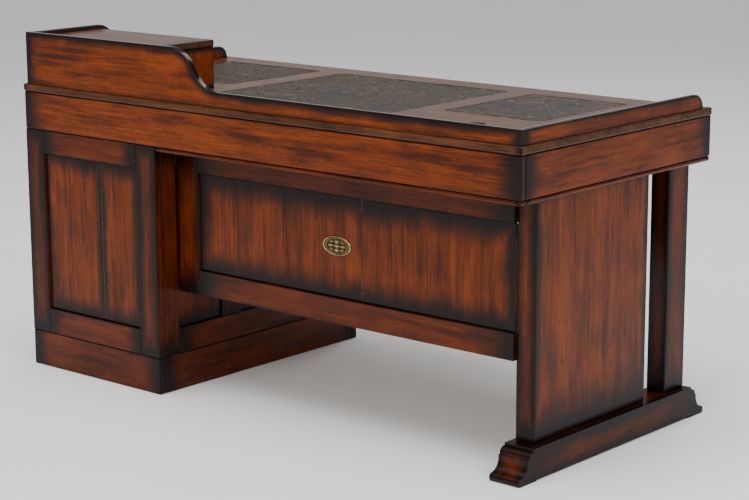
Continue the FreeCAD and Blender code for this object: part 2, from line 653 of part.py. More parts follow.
def make_bail(label, center_x, center_z, front_y):
    """The swinging handle: a bent rod with two pins that turn in the posts."""
    half = size("pull_half")
    rod = size("bail_radius")
    arm = half + size("post_radius") + rod + size("bail_gap")
    drop = size("bail_drop")
    bend = size("bail_bend")
    sag = bend * (1 - math.sqrt(0.5))
    spine = [
        Part.LineSegment(FreeCAD.Vector(-arm, 0, 0), FreeCAD.Vector(-arm, 0, bend - drop)),
        Part.Arc(FreeCAD.Vector(-arm, 0, bend - drop), FreeCAD.Vector(sag - arm, 0, sag - drop),
                 FreeCAD.Vector(bend - arm, 0, -drop)),
        Part.LineSegment(FreeCAD.Vector(bend - arm, 0, -drop), FreeCAD.Vector(arm - bend, 0, -drop)),
        Part.Arc(FreeCAD.Vector(arm - bend, 0, -drop), FreeCAD.Vector(arm - sag, 0, sag - drop),
                 FreeCAD.Vector(arm, 0, bend - drop)),
        Part.LineSegment(FreeCAD.Vector(arm, 0, bend - drop), FreeCAD.Vector(arm, 0, 0)),
    ]
    path = Part.Wire([curve.toShape() for curve in spine])
    ring = Part.Wire(Part.makeCircle(rod, FreeCAD.Vector(-arm, 0, 0), FreeCAD.Vector(0, 0, 1)))
    shape = path.makePipeShell([ring], True, False)
    for sign in (-1, 1):
        shape = shape.fuse(Part.makeSphere(rod, FreeCAD.Vector(sign * arm, 0, 0)))
        pin = Part.makeCylinder(size("pin_radius"), arm - half + size("pin_past"),
                                FreeCAD.Vector(sign * arm, 0, 0), FreeCAD.Vector(-sign, 0, 0))
        shape = shape.fuse(pin)
    bail = doc.addObject("Part::Feature", label)
    bail.Shape = shape.removeSplitter()
    place(bail, (center_x, f"{front_y} - pivot_out", f"{center_z} + bail_lift"))
    keep(label, bail)


def make_drawers():
    """All drawers with their pulls."""
    front = f"-{FACE_Y}"
    head = f"{SLAB_LOW} - rail_high"
    sill = "frieze_low + rail_high"
    inside = ("pedestal_x + board", f"{FACE_X} - board")
    second = f"{BAY_START} + {BAY_WIDE} + board"
    bays = {
        "drawer_leg": (BAY_START, f"{BAY_START} + {BAY_WIDE}", sill, head),
        "drawer_center": (second, "pedestal_x", sill, head),
        "drawer_top": (*inside, sill, head),
        "drawer_middle": (*inside, "rail_mid + rail_high", "frieze_low - board"),
        "drawer_file": (*inside, "plinth_high + rail_high", "rail_mid"),
    }
    for label, (low_x, high_x, low_z, high_z) in bays.items():
        make_drawer(label, low_x, high_x, low_z, high_z, front, "box_deep")
        center_x = f"(({low_x}) + ({high_x})) / 2"
        center_z = f"(({low_z}) + ({high_z})) / 2"
        name = label.replace("drawer_", "pull_")
        make_plate(name + "_plate", center_x, center_z, front)
        make_bail(name + "_bail", center_x, center_z, front)
    start = "organizer_x + board + cubby_wide + divider"
    floor, roof = "top_height + organizer_floor", "organizer_top - board"
    small_front = "organizer_y + reveal"
    for name, low_x in (("a", start), ("b", f"{start} + {DRAWER_BAY} + divider")):
        high_x = f"{low_x} + {DRAWER_BAY}"
        label = f"organizer_drawer_{name}"
        make_drawer(label, low_x, high_x, floor, roof, small_front, "small_deep")
        center_x, center_z = f"{low_x} + {DRAWER_BAY} / 2", f"({floor} + {roof}) / 2"
        make_knob(f"organizer_knob_{name}", center_x, center_z, small_front)


make_top()
make_gallery()
make_organizer()
make_frieze()
make_pedestal()
make_trestle()
make_modesty()
make_drawers()
doc.recompute()

for thing in doc.Objects:
    if {"Invalid", "Error"} & set(thing.State):
        raise RuntimeError(f"{thing.Name} failed: {thing.State}")
for node in nodes:
    if node.Shape.isNull() or not node.Shape.isValid():
        raise RuntimeError(f"{node.Label} has no valid shape")
    if not node.Shape.Solids:
        raise RuntimeError(f"{node.Label} has no solid")

os.makedirs("parts", exist_ok=True)
for node in nodes:
    node.Shape.exportStep(f"parts/{node.Label}.step")
print(len(nodes), "pieces written")
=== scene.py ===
import json
import math

import bmesh
import bpy
from mathutils import Matrix, Vector

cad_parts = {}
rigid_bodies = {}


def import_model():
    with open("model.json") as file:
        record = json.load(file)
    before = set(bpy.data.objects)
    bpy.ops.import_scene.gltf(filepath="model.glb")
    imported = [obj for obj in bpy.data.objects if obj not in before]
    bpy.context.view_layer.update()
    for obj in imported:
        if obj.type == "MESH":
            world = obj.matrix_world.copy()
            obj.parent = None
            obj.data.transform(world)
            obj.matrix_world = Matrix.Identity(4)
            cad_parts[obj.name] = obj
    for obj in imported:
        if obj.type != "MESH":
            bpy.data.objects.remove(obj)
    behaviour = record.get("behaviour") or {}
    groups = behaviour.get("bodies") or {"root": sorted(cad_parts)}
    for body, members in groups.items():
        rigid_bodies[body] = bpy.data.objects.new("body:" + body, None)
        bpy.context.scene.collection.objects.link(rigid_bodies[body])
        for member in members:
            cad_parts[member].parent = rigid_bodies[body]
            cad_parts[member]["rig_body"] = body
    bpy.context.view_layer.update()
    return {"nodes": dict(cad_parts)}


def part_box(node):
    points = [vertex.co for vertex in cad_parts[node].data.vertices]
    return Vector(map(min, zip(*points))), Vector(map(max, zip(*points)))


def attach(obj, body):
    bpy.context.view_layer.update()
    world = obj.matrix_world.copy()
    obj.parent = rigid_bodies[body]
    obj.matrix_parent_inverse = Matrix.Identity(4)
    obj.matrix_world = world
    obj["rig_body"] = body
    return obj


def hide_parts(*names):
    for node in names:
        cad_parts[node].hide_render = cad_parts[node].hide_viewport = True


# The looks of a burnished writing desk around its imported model. Lengths are in metres.
# X runs towards the pedestal and Y towards the desk's back, which the camera faces.

# The gallery. Each ogee starts where its board's high stretch ends, and runs down towards -X or -Y.
GALLERY_ROUND = 0.0025
ROUND_ANGLES = (0.5, 1.05, 1.57)
WALL_ROWS = 9
OGEE_START = 0.265
OGEE_RUN = 0.160
OGEE_MARGIN = 0.06
END_OGEE_START = 0.139
END_OGEE_RUN = 0.104
NOSE_RADIUS = 0.030
NOSE_STEPS = 8
OGEE_STEP = 0.005
LOW_STEP = 0.02
HIGH_STEP = 0.012
END_STEP = 0.006
CREASE_ANGLE = math.radians(50)

# Widths of the dark burnish. A gallery board no taller than LOW_BOARD has half the rim, and NO_RIM is
# the value for the other boards, too high to darken anything.
BURN_RIM = 0.026
BACK_END_BURN = 0.045
SIDE_END_BURN = 0.03
GALLERY_BURN = (0.02, 0.0001, 0.0001)
LOW_BOARD = 0.05
NO_RIM = 9.0

# Boards. A bevel takes at most this share of a board's thinnest side.
BEVEL_SHARE = 0.45
BEVEL_SEGMENTS = 3
SEED_COUNT = 997

# Leather panels: pairs of distance inwards and share of the height, from the edge in.
LEATHER_CORNER = 0.016
LEATHER_GAP = 0.0046
CORNER_STEPS = 8
SKIN_PROFILE = ((0.0, 0.0), (0.0, 0.6), (0.0008, 0.9), (0.002, 1.0), (0.0085, 1.0), (0.0092, 0.72),
                (0.0104, 0.72), (0.0111, 1.0), (0.013, 1.0))
# The seam ring runs down into the recess round a leather as painted shadow along the gap.
SEAM_PROFILE = ((-0.0004, 1.1), (0.0006, 0.5), (0.0052, 0.1))

# The painted shadow in a panel's groove: a dark strip laid deep in it.
SEAM_HALF_WIDTH = 0.0016
SEAM_DEPTH = 0.004
SEAM_SINK = 0.0004
SEAM_END_GAP = 0.002
SEAM_BEVEL = 0.0002

# The oval plate.
OVAL_TURNS = 96
OVAL_RINGS = 40
OVAL_FIELD = 0.28
ROPE_TWISTS = 32
PETALS = 4
EDGE_START = 0.955

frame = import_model()


# ---------------------------------------------------------------- shader helpers
class Shader:
    """Builds a node material in short calls: values go to sockets, sockets are linked."""

    def __init__(self, name):
        self.material = bpy.data.materials.new(name)
        self.material.use_nodes = True
        self.tree = self.material.node_tree
        self.surface = self.tree.nodes["Principled BSDF"]

    def add(self, kind, settings=None, **inputs):
        node = self.tree.nodes.new(kind)
        for key, value in (settings or {}).items():
            setattr(node, key, value)
        for key, value in inputs.items():
            self.feed(node.inputs[key.replace("_", " ")], value)
        return node

    def feed(self, socket, value):
        if isinstance(value, bpy.types.NodeSocket):
            self.tree.links.new(value, socket)
        else:
            socket.default_value = value

    def math(self, operation, *values):
        node = self.add("ShaderNodeMath", {"operation": operation})
        for socket, value in zip(node.inputs, values):
            self.feed(socket, value)
        return node.outputs[0]

    def weighted(self, *terms):
        """The sum of values, each times its weight."""
        products = [self.math("MULTIPLY", value, weight) for value, weight in terms]
        total = products[0]
        for product in products[1:]:
            total = self.math("ADD", total, product)
        return total

    def vector(self, operation, *values, **inputs):
        node = self.add("ShaderNodeVectorMath", {"operation": operation}, **inputs)
        for socket, value in zip(node.inputs, values):
            self.feed(socket, value)
        return node.outputs[0]

    def attribute(self, name, output="Vector"):
        return self.add("ShaderNodeAttribute", {"attribute_name": name}).outputs[output]

    def place(self):
        """Where a point is on its object."""
        return self.add("ShaderNodeTexCoord").outputs["Object"]

    def noise(self, where, stretch=None, scale=1.0, detail=3.0, rough=0.5, bend=0.0):
        """Noise from 0 to 1, with its cycles per metre along each axis in `stretch`."""
        if stretch:
            where = self.vector("MULTIPLY", where, stretch)
        node = self.add("ShaderNodeTexNoise", Vector=where, Scale=scale, Detail=detail, Roughness=rough,
                        Distortion=bend)
        return node.outputs["Fac"]

    def remap(self, value, low, high, to_low=0.0, to_high=1.0, smooth=False):
        node = self.add("ShaderNodeMapRange", {"interpolation_type": "SMOOTHSTEP" if smooth else "LINEAR"})
        for socket, number in zip(node.inputs, (value, low, high, to_low, to_high)):
            self.feed(socket, number)
        return node.outputs[0]

    def grey(self, value):
        return self.add("ShaderNodeCombineColor", Red=value, Green=value, Blue=value).outputs[0]

    def mix(self, share, first, second, blend="MIX"):
        node = self.add("ShaderNodeMix", {"data_type": "RGBA", "blend_type": blend})
        self.feed(node.inputs[0], share)
        self.feed(node.inputs[6], first)
        self.feed(node.inputs[7], second)
        return node.outputs[2]

    def bump(self, height, strength, distance, normal=None):
        node = self.add("ShaderNodeBump", Height=height, Strength=strength, Distance=distance)
        if normal is not None:
            self.feed(node.inputs["Normal"], normal)
        return node.outputs[0]

    def finish(self, **inputs):
        for key, value in inputs.items():
            self.feed(self.surface.inputs[key.replace("_", " ")], value)
        return self.material


# ---------------------------------------------------------------- wood
# Cycles per metre of each pattern, along the grain and in the two directions across it.
FIGURE = (3.0, 26.0, 26.0)
STREAK = (5.0, 130.0, 130.0)
FIBRE = (18.0, 420.0, 420.0)
BLOTCH = (9.0, 13.0, 13.0)
FLECK = (45.0, 150.0, 150.0)
SEED_SHIFT = (3.1, 1.7, 2.3)
RAGGEDNESS = 0.55
GLOSS_SPREAD = 0.12
RUBBED_GLOSS = 0.55


def edge_wear(sh, spot):
    """0 at a board's ends and edges, 1 at its burn widths inside them, and more further in."""
    away = sh.vector("SUBTRACT", sh.attribute("half"), sh.vector("ABSOLUTE", spot))
    ratio = sh.vector("DIVIDE", away, sh.attribute("burn"))
    parts = sh.add("ShaderNodeSeparateXYZ", Vector=ratio).outputs
    low = sh.math("MINIMUM", parts[0], parts[1])
    high = sh.math("MAXIMUM", parts[0], parts[1])
    middle = sh.math("MAXIMUM", low, sh.math("MINIMUM", high, parts[2]))
    return sh.math("MINIMUM", middle, sh.attribute("rim", "Fac"))


def lacquered_wood(name, bright, deep, burnt, burn_share=0.97, rough=0.27, coat=0.03):
    """Stained wood with stretched grain, blotchy stain and dark rubbed edges under lacquer."""
    sh = Shader(name)
    spot = sh.attribute("spot")
    shift = sh.vector("SCALE", SEED_SHIFT, Scale=sh.attribute("seed", "Fac"))
    here = sh.vector("ADD", spot, shift)
    figure = sh.noise(here, FIGURE, detail=4.0, rough=0.55, bend=0.9)
    streak = sh.noise(here, STREAK, detail=4.0, rough=0.65, bend=0.5)
    fibre = sh.noise(here, FIBRE, detail=3.0, rough=0.6)
    blotch = sh.noise(here, BLOTCH, detail=3.0, rough=0.6)
    fleck = sh.noise(here, FLECK, detail=1.0)

    tone = sh.weighted((figure, 0.38), (streak, 0.4), (blotch, 0.22))
    colour = sh.mix(sh.remap(tone, 0.4, 0.6), deep, bright)
    lines = sh.remap(fibre, 0.32, 0.68, 0.68, 1.12)
    colour = sh.mix(1.0, colour, sh.grey(lines), "MULTIPLY")
    colour = sh.mix(sh.remap(fleck, 0.66, 0.78, 0.0, 0.55), colour, burnt)

    inside = edge_wear(sh, spot)
    ragged = sh.math("ADD", inside, sh.math("MULTIPLY", sh.math("SUBTRACT", blotch, 0.5), RAGGEDNESS))
    colour = sh.mix(sh.remap(ragged, 0.12, 1.0, burn_share, 0.0, smooth=True), colour, burnt)

    spread = sh.math("ADD", sh.math("MULTIPLY", blotch, GLOSS_SPREAD), rough - GLOSS_SPREAD / 2)
    gloss = sh.math("MULTIPLY", spread, sh.remap(inside, 0.0, 0.04, RUBBED_GLOSS, 1.0))
    normal = sh.bump(streak, 0.05, 0.0006, sh.bump(fibre, 0.08, 0.0002))
    return sh.finish(Base_Color=colour, Roughness=gloss, Normal=normal, Coat_Weight=coat, Coat_Roughness=0.14,
                     Specular_IOR_Level=0.16)


# ---------------------------------------------------------------- leather, brass and paper
LEATHER_CREASE = (22.0, 40.0, 40.0)
LEATHER_SWELL = (16.0, 30.0, 30.0)
LEATHER_PORES = 330.0


def leather(name):
    """Dark grained writing leather with fine wrinkles and painted shade darkening its creases."""
    sh = Shader(name)
    where = sh.place()
    pores = sh.add("ShaderNodeTexVoronoi", {"feature": "DISTANCE_TO_EDGE"}, Vector=where, Scale=LEATHER_PORES)
    crease = sh.noise(where, LEATHER_CREASE, detail=5.0, rough=0.7, bend=2.6)
    cloud = sh.noise(where, scale=7.0)
    swell = sh.noise(where, LEATHER_SWELL, bend=1.2)
    fold = sh.remap(sh.math("ABSOLUTE", sh.math("SUBTRACT", crease, 0.5)), 0.0, 0.06)
    colour = sh.mix(sh.remap(cloud, 0.35, 0.65), (0.036, 0.022, 0.012, 1), (0.085, 0.052, 0.03, 1))
    # Painted shade: the creases are darkened in colour, standing in for the shade in their folds.
    colour = sh.mix(sh.remap(fold, 0.0, 1.0, 0.92, 0.0), colour, (0.004, 0.003, 0.002, 1))
    normal = sh.bump(swell, 0.5, 0.006, sh.bump(fold, 1.0, 0.003))
    normal = sh.bump(pores.outputs["Distance"], 0.35, 0.0005, normal)
    gloss = sh.remap(cloud, 0.3, 0.7, 0.42, 0.56)
    return sh.finish(Base_Color=colour, Roughness=gloss, Normal=normal, Specular_IOR_Level=0.5)


def brass(name, bright, dull, grime, cast=False):
    """Aged brass: uneven tone, slightly pitted, darker in corners or, if cast, in its low relief."""
    sh = Shader(name)
    where = sh.place()
    cloud = sh.noise(where, scale=90.0, detail=4.0, rough=0.65)
    pits = sh.noise(where, scale=900.0, detail=2.0)
    if cast:
        clean = sh.remap(sh.attribute("relief", "Fac"), 0.3, 0.8, 0.3, 1.0)
    else:
        clean = sh.add("ShaderNodeAmbientOcclusion", {"samples": 8}, Distance=0.006).outputs["AO"]
    colour = sh.mix(sh.remap(cloud, 0.35, 0.65), dull, bright)
    colour = sh.mix(sh.remap(clean, 0.35, 0.95, 0.93, 0.0), colour, grime)
    return sh.finish(Base_Color=colour, Metallic=1.0, Roughness=sh.remap(cloud, 0.3, 0.7, 0.42, 0.26),
                     Normal=sh.bump(pits, 0.15, 0.0002))


def paper(name):
    """The pale studio floor."""
    sh = Shader(name)
    tone = sh.remap(sh.noise(sh.place(), scale=2.0), 0.3, 0.7, 0.77, 0.79)
    return sh.finish(Base_Color=sh.grey(tone), Roughness=0.8)


BURNT = (0.0045, 0.0025, 0.0018, 1)
WOOD = lacquered_wood("burnished_wood", (0.215, 0.037, 0.0014, 1), (0.05, 0.0078, 0.0007, 1), BURNT)
# A darker copy of the wood for parts that sit in shade: painted shade.
PAINTED_SHADE_WOOD = lacquered_wood("painted_shade_wood", (0.135, 0.021, 0.0009, 1), (0.036, 0.0052, 0.0005, 1), BURNT)
TOP_WOOD = lacquered_wood("top_wood", (0.11, 0.038, 0.012, 1), (0.034, 0.0115, 0.0045, 1), BURNT)
RAW_WOOD = lacquered_wood("drawer_wood", (0.52, 0.31, 0.15, 1), (0.38, 0.2, 0.09, 1), (0.16, 0.08, 0.035, 1),
                          burn_share=0.35, rough=0.55, coat=0.0)
LEATHER = leather("writing_leather")
# A dark leather laid in grooves and gaps as painted shadow.
PAINTED_SHADOW_LEATHER = leather("painted_groove_shadow")
BRASS = brass("aged_brass", (0.72, 0.5, 0.2, 1), (0.5, 0.33, 0.12, 1), (0.05, 0.03, 0.015, 1))
OLD_BRASS = brass("antique_brass", (0.62, 0.47, 0.22, 1), (0.4, 0.28, 0.11, 1), (0.012, 0.008, 0.005, 1),
                  cast=True)


# ---------------------------------------------------------------- mesh helpers
def grain_frame(axis):
    """The change of axes that puts the grain along local X."""
    order = {"x": (0, 1, 2), "y": (1, 0, 2), "z": (2, 0, 1)}[axis]
    return lambda v: Vector((v[order[0]], v[order[1]], v[order[2]]))


def mark(mesh, low, high, axis, burn, seed, rim=None):
    """Stores on each vertex what the wood material reads."""
    turn = grain_frame(axis)
    centre, half = (low + high) / 2, (high - low) / 2
    spots = [turn(v.co - centre) for v in mesh.vertices]
    count = len(mesh.vertices)
    for name, rows in (("spot", spots), ("half", [turn(half)] * count), ("burn", [Vector(burn)] * count)):
        data = mesh.attributes.new(name, "FLOAT_VECTOR", "POINT").data
        data.foreach_set("vector", [number for row in rows for number in row])
    for name, numbers in (("seed", [seed] * count), ("rim", rim or [NO_RIM] * count)):
        mesh.attributes.new(name, "FLOAT", "POINT").data.foreach_set("value", numbers)


def link(name, mesh, material, body):
    """Makes an object of a mesh that rides on a body."""
    piece = bpy.data.objects.new(name, mesh)
    bpy.context.scene.collection.objects.link(piece)
    mesh.materials.append(material)
    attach(piece, body)
    return piece


def seed_of(name):
    """A fixed number from 0 to 10 that differs from board to board."""
    return sum((n + 3) * ord(letter) for n, letter in enumerate(name)) % SEED_COUNT / (SEED_COUNT / 10)


def mesh_of(name, work, smooth=True):
    """Turns a bmesh into a mesh and frees it."""
    mesh = bpy.data.meshes.new(name)
    work.to_mesh(mesh)
    work.free()
    if smooth:
        mesh.polygons.foreach_set("use_smooth", [True] * len(mesh.polygons))
    return mesh


def stitch(work, loops):
    """Joins each closed loop of points to the next one with four-sided faces."""
    for first, second in zip(loops, loops[1:]):
        for k in range(len(first)):
            following = (k + 1) % len(first)
            work.faces.new((first[k], first[following], second[following], second[k]))


def solids(node):
    """The boxes of a node's separate solids: each ends where its run of faces closes."""
    mesh = frame["nodes"][node].data
    open_edges, points, found = set(), [], []
    for face in mesh.polygons:
        corners = [tuple(round(c, 6) for c in mesh.vertices[k].co) for k in face.vertices]
        points += corners
        for first, second in zip(corners, corners[1:] + corners[:1]):
            if first != second:
                open_edges ^= {frozenset((first, second))}
        if not open_edges:
            found.append((Vector(map(min, zip(*points))), Vector(map(max, zip(*points)))))
            points = []
    return found


def board_mesh(name, low, high, bevel):
    """A box with rounded edges."""
    work = bmesh.new()
    bmesh.ops.create_cube(work, size=1.0)
    size = high - low
    bmesh.ops.transform(work, verts=work.verts,
                        matrix=Matrix.Translation((low + high) / 2) @ Matrix.Diagonal((*size, 1.0)))
    width = min(bevel, min(size) * BEVEL_SHARE)
    bmesh.ops.bevel(work, geom=work.edges, offset=width, segments=BEVEL_SEGMENTS, profile=0.5, affect="EDGES")
    return mesh_of(name, work)


def add_boards(node, material, axis, burn, bevel, as_one=False):
    """Replaces a node with a board for each of its solids, burnished one by one or round the whole."""
    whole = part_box(node)
    for number, (low, high) in enumerate(solids(node)):
        name = f"{node}_board{number}"
        size = high - low
        along = axis or "xyz"[max(range(3), key=lambda k: size[k])]
        mesh = board_mesh(name, low, high, bevel)
        mark(mesh, *(whole if as_one else (low, high)), along, burn, seed_of(name))
        piece = link(name, mesh, material, frame["nodes"][node]["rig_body"])
        piece.modifiers.new("normals", "WEIGHTED_NORMAL").keep_sharp = False
    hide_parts(node)


def add_copy(node, material, axis, burn):
    """Replaces a node with a finished copy of its own curved shape."""
    mesh = frame["nodes"][node].data.copy()
    mesh.materials.clear()
    low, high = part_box(node)
    mark(mesh, low, high, axis, burn, seed_of(node))
    piece = link(node + "_finish", mesh, material, frame["nodes"][node]["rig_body"])
    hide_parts(node)


# ---------------------------------------------------------------- gallery
def drop(position, start, run, high, low):
    """Height of two equal arcs that fall from `high` at `start` to `low` a `run` further down."""
    along = start - position
    if along <= 0 or high == low:
        return high
    if along >= run:
        return low
    radius = ((run / 2) ** 2 + ((high - low) / 2) ** 2) / (high - low)
    if along < run / 2:
        return high - radius + math.sqrt(radius ** 2 - along ** 2)
    return low + radius - math.sqrt(radius ** 2 - (run - along) ** 2)


def nose(inside, top):
    """Height of the quarter round at a board's front end, `inside` behind its tip."""
    if inside >= NOSE_RADIUS:
        return top
    return top - NOSE_RADIUS + math.sqrt(NOSE_RADIUS ** 2 - (NOSE_RADIUS - inside) ** 2)


def steps(start, end, spacing):
    """Evenly spaced stations with both ends."""
    count = max(1, round((end - start) / spacing))
    return [start + (end - start) * k / count for k in range(count + 1)]


def cross_section(near, far, base, top):
    """A gallery board's outline: up one wall, over both rounded edges and down the other wall."""
    r = GALLERY_ROUND
    heights = [base + (top - r - base) * k / (WALL_ROWS - 1) for k in range(WALL_ROWS)]
    arc = [(r * (1 - math.cos(a)), top - r + r * math.sin(a)) for a in ROUND_ANGLES]
    rising = [(near, z) for z in heights] + [(near + inwards, z) for inwards, z in arc]
    falling = [(far - inwards, z) for inwards, z in reversed(arc)] + [(far, z) for z in reversed(heights)]
    return rising + falling


def gallery(node, axis, stations, top_at, end_burn):
    """A lofted board whose top follows `top_at`, with a dark rim that follows its edge."""
    low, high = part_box(node)
    side = 1 - axis
    outline = [(s, top_at(s)) for s in stations]
    fade = 1.0 if high.z - low.z > LOW_BOARD else 2.0
    rings, rims = [], []
    work = bmesh.new()
    for station, top in outline:
        ends = min(station - stations[0], stations[-1] - station) * BURN_RIM / end_burn
        ring = []
        for across, z in cross_section(low[side], high[side], low.z, top):
            point = [0.0, 0.0, z]
            point[axis], point[side] = station, across
            ring.append(work.verts.new(point))
            near = min(math.hypot(station - s, z - t) for s, t in outline)
            rims.append(min(near * fade, ends) / BURN_RIM)
        rings.append(ring)
    stitch(work, rings)
    work.faces.new(rings[0])
    work.faces.new(list(reversed(rings[-1])))
    bmesh.ops.recalc_face_normals(work, faces=work.faces)
    mesh = mesh_of(node + "_lofted", work)
    for end_face in mesh.polygons[-2:]:
        end_face.use_smooth = False
    mark(mesh, low, high, "xy"[axis], GALLERY_BURN, seed_of(node), rims)
    piece = link(node + "_lofted", mesh, WOOD, "desk")
    piece.modifiers.new("edges", "EDGE_SPLIT").split_angle = CREASE_ANGLE
    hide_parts(node)


def add_galleries():
    """The back board with its ogee, and both end boards with quarter-round fronts."""
    back_low, back_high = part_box("gallery_back")
    low_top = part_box("gallery_leg_end")[1].z
    ogee = steps(OGEE_START - OGEE_RUN - OGEE_MARGIN, OGEE_START + OGEE_MARGIN, OGEE_STEP)
    stations = steps(back_low.x, ogee[0], LOW_STEP)[:-1] + ogee + steps(ogee[-1], back_high.x, HIGH_STEP)[1:]
    gallery("gallery_back", 0, stations, lambda x: drop(x, OGEE_START, OGEE_RUN, back_high.z, low_top),
            BACK_END_BURN)

    for node in ("gallery_leg_end", "gallery_pedestal_end"):
        low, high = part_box(node)
        angles = [k * math.pi / (2 * NOSE_STEPS) for k in range(NOSE_STEPS + 1)]
        tip = [low.y + NOSE_RADIUS * (1 - math.cos(angle)) for angle in angles]
        stations = tip + steps(tip[-1], high.y, END_STEP)[1:]

        def top_at(y, front=low.y, top=high.z):
            if y < front + NOSE_RADIUS:
                return nose(y - front, low_top)
            return drop(y, END_OGEE_START, END_OGEE_RUN, top, low_top)

        gallery(node, 1, stations, top_at, SIDE_END_BURN)


# ---------------------------------------------------------------- leather
def rounded_loop(low, high, inset, z):
    """Points of a leather's rounded rectangle, moved inwards by `inset`."""
    r = max(LEATHER_CORNER - inset, 0.001)
    left, right = low.x + inset + r, high.x - inset - r
    front, back = low.y + inset + r, high.y - inset - r
    points = []
    for x, y, start in ((right, back, 0), (left, back, 90), (left, front, 180), (right, front, 270)):
        for k in range(CORNER_STEPS + 1):
            angle = math.radians(start + k * 90 / CORNER_STEPS)
            points.append(Vector((x + r * math.cos(angle), y + r * math.sin(angle), z)))
    return points


def add_leather(node):
    """A leather panel with soft pillowed edges, a tooled line and a dark ring in its recess, painted shadow
    along the gap.
    """
    low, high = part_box(node)

    def lofted(work, gap, profile):
        """Stitches a rounded rectangle for each step of the profile, and gives the innermost one."""
        loops = []
        for inwards, share in profile:
            loop = rounded_loop(low, high, gap + inwards, low.z + (high.z - low.z) * share)
            loops.append([work.verts.new(point) for point in loop])
        stitch(work, loops)
        return loops[-1]

    skin = bmesh.new()
    skin.faces.new(lofted(skin, LEATHER_GAP, SKIN_PROFILE))
    piece = link(node + "_skin", mesh_of(node + "_skin", skin), LEATHER, "desk")
    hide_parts(node)
    # The dark ring in the recess: painted shadow along the gap.
    seam = bmesh.new()
    lofted(seam, 0.0, SEAM_PROFILE)
    link(node + "_seam", mesh_of(node + "_seam", seam, smooth=False), PAINTED_SHADOW_LEATHER, "desk")


# ---------------------------------------------------------------- seam shadows
def add_seam_shadow(node):
    """A dark strip deep in the V-groove where two boards of a panel meet: a painted shadow."""
    groove = max(low.x for low, high in solids(node))
    low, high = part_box(node)
    deep = Vector((groove - SEAM_HALF_WIDTH, high.y - SEAM_DEPTH, low.z + SEAM_END_GAP))
    shallow = Vector((groove + SEAM_HALF_WIDTH, high.y - SEAM_SINK, high.z - SEAM_END_GAP))
    mesh = board_mesh(node + "_seam", deep, shallow, SEAM_BEVEL)
    link(node + "_seam", mesh, PAINTED_SHADOW_LEATHER, "desk")


# ---------------------------------------------------------------- oval plate
def ridge(share, place, width):
    """A smooth ridge from 0 to 1 round the plate, at a place along its radius."""
    return math.exp(-((share - place) / width) ** 2)


def cast_height(share, angle):
    """The casting's height from 0 to 1, at a share of the radius and an angle round the plate."""
    rope = ridge(share, 0.9, 0.045) * (0.8 + 0.2 * math.sin(angle * ROPE_TWISTS))
    inner_rim = 0.45 * ridge(share, 0.74, 0.03)
    petals = 0.65 * max(0.0, math.cos(angle * PETALS)) * ridge(share, 0.4, 0.16)
    leaves = 0.4 * max(0.0, math.cos(angle * PETALS + math.pi)) * ridge(share, 0.52, 0.1)
    heart = 0.9 * ridge(share, 0.0, 0.13)
    edge = 1.0
    if share > EDGE_START:
        edge = max(0.0, 1 - ((share - EDGE_START) / (1 - EDGE_START)) ** 2) ** 0.5
    return (OVAL_FIELD + (1 - OVAL_FIELD) * min(1.0, rope + inner_rim + petals + leaves + heart)) * edge


def add_oval_plate():
    """A cast oval with a raised rope rim and a plain flower in relief."""
    low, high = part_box("oval_plate")
    centre, half = (low + high) / 2, (high - low) / 2
    work = bmesh.new()
    relief = work.verts.layers.float.new("relief")
    rings = []
    for share in (k / OVAL_RINGS for k in range(OVAL_RINGS + 1)):
        ring = []
        for angle in (2 * math.pi * k / OVAL_TURNS for k in range(OVAL_TURNS)):
            height = cast_height(share, angle)
            vertex = work.verts.new((centre.x + half.x * share * math.cos(angle),
                                     low.y + (high.y - low.y) * height,
                                     centre.z + half.z * share * math.sin(angle)))
            vertex[relief] = height
            ring.append(vertex)
        rings.append(ring)
    stitch(work, rings)
    bmesh.ops.remove_doubles(work, verts=work.verts, dist=1e-7)
    bmesh.ops.recalc_face_normals(work, faces=work.faces)
    piece = link("oval_plate_cast", mesh_of("oval_plate_cast", work), OLD_BRASS, "desk")
    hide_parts("oval_plate")


# ---------------------------------------------------------------- dressing the nodes
# Widths of the burnish on a board: along its grain and in the two directions across it.
TOP_BURN = (0.03, 0.012, 0.002)
FOOT_BURN = (0.35, 0.045, 0.045)
PANEL_BURN = (0.06, 0.045, 0.002)
RAIL_BURN = (0.05, 0.01, 0.004)
SIDE_FRAME_BURN = (0.07, 0.03, 0.004)
FRIEZE_END_BURN = (0.07, 0.018, 0.004)
FRONT_BURN = (0.05, 0.02, 0.004)
SQUARE_EDGE = 0.0012
SOFT_EDGE = 0.003

